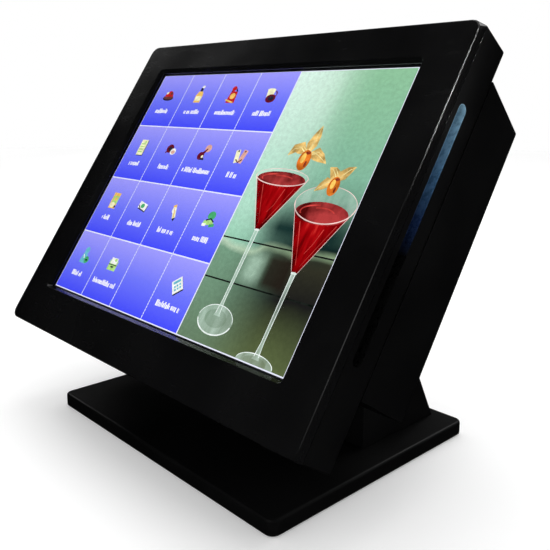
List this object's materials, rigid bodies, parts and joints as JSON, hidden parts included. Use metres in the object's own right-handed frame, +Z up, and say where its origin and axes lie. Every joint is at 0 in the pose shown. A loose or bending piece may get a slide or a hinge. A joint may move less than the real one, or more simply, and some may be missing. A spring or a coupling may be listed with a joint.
{
  "type": "point-of-sale touchscreen terminal",
  "caption": "Black touchscreen checkout terminal: wide leaning screen head with a deep computer housing and side card slot, tilting on a wedge-shaped neck and flat weighted base.",
  "frame": {"origin": "middle of the terminal's bounding footprint, on the surface that it stands on", "axes": "-Y towards the person at the screen, +X to the right seen from the front, +Z up"},
  "size_m": [0.3752, 0.2452, 0.3287],
  "materials": {
    "black_case": "satin black moulded housing",
    "black_trim": "fine-textured black plastic",
    "touch_glass": "clear anti-glare touch glass",
    "display_module": "lit display picture",
    "rubber": "matt black rubber",
    "circuit_board": "green solder mask",
    "plated_metal": "nickel plated",
    "bare_aluminium": "bare aluminium",
    "sheet_steel": "zinc plated sheet steel",
    "black_steel": "black oxide steel"
  },
  "bodies": {
    "stand": {"base_cover": "black_case", "base_weight": "black_steel", "friction_washers_left": "sheet_steel", "friction_washers_right": "sheet_steel", "hinge_bracket_left": "black_steel", "hinge_bracket_right": "black_steel", "hinge_nut_left": "sheet_steel", "hinge_nut_right": "sheet_steel", "hinge_shaft_left": "black_steel", "hinge_shaft_right": "black_steel", "neck_rear_cover": "black_case", "neck_screw_1": "black_steel", "neck_screw_2": "black_steel", "neck_screw_3": "black_steel", "neck_screw_4": "black_steel", "neck_shell": "black_case", "rubber_foot_1": "rubber", "rubber_foot_2": "rubber", "rubber_foot_3": "rubber", "rubber_foot_4": "rubber"},
    "head": {"arm_screw_1": "black_steel", "arm_screw_2": "black_steel", "arm_screw_3": "black_steel", "arm_screw_4": "black_steel", "card_read_head": "plated_metal", "card_reader_body": "black_trim", "case_screw_1": "black_steel", "case_screw_2": "black_steel", "case_screw_3": "black_steel", "case_screw_4": "black_steel", "cash_drawer_port": "plated_metal", "chassis_plate": "sheet_steel", "connector_panel": "sheet_steel", "display_port": "plated_metal", "drive_bracket": "sheet_steel", "dust_gasket": "rubber", "front_bezel": "black_case", "heat_sink": "bare_aluminium", "lcd_bracket_left": "sheet_steel", "lcd_bracket_right": "sheet_steel", "lcd_panel": "display_module", "memory_module": "circuit_board", "mid_case": "black_case", "motherboard": "circuit_board", "network_port": "plated_metal", "power_board": "circuit_board", "power_inlet": "black_trim", "power_switch": "circuit_board", "processor": "plated_metal", "rear_housing": "black_case", "serial_port_left": "plated_metal", "serial_port_right": "plated_metal", "speaker_left": "black_trim", "speaker_right": "black_trim", "storage_drive": "bare_aluminium", "tilt_arm": "black_steel", "touch_controller": "circuit_board", "touch_glass": "touch_glass", "usb_port": "plated_metal"},
    "button": {"power_button": "black_trim"}
  },
  "joints": [
    {"name": "head_tilt", "type": "hinge", "parent": "stand", "child": "head", "pos_m": [0, 0.03261, 0.1352], "axis": [1, 0, 0], "range_deg": [-40, 20]},
    {"name": "power_button_press", "type": "slide", "parent": "head", "child": "button", "axis": [0, 0.5548, 0.832], "range_m": [0, 0.0015], "stiffness_N_per_m": 600, "springref_m": -0.0006}
  ]
}
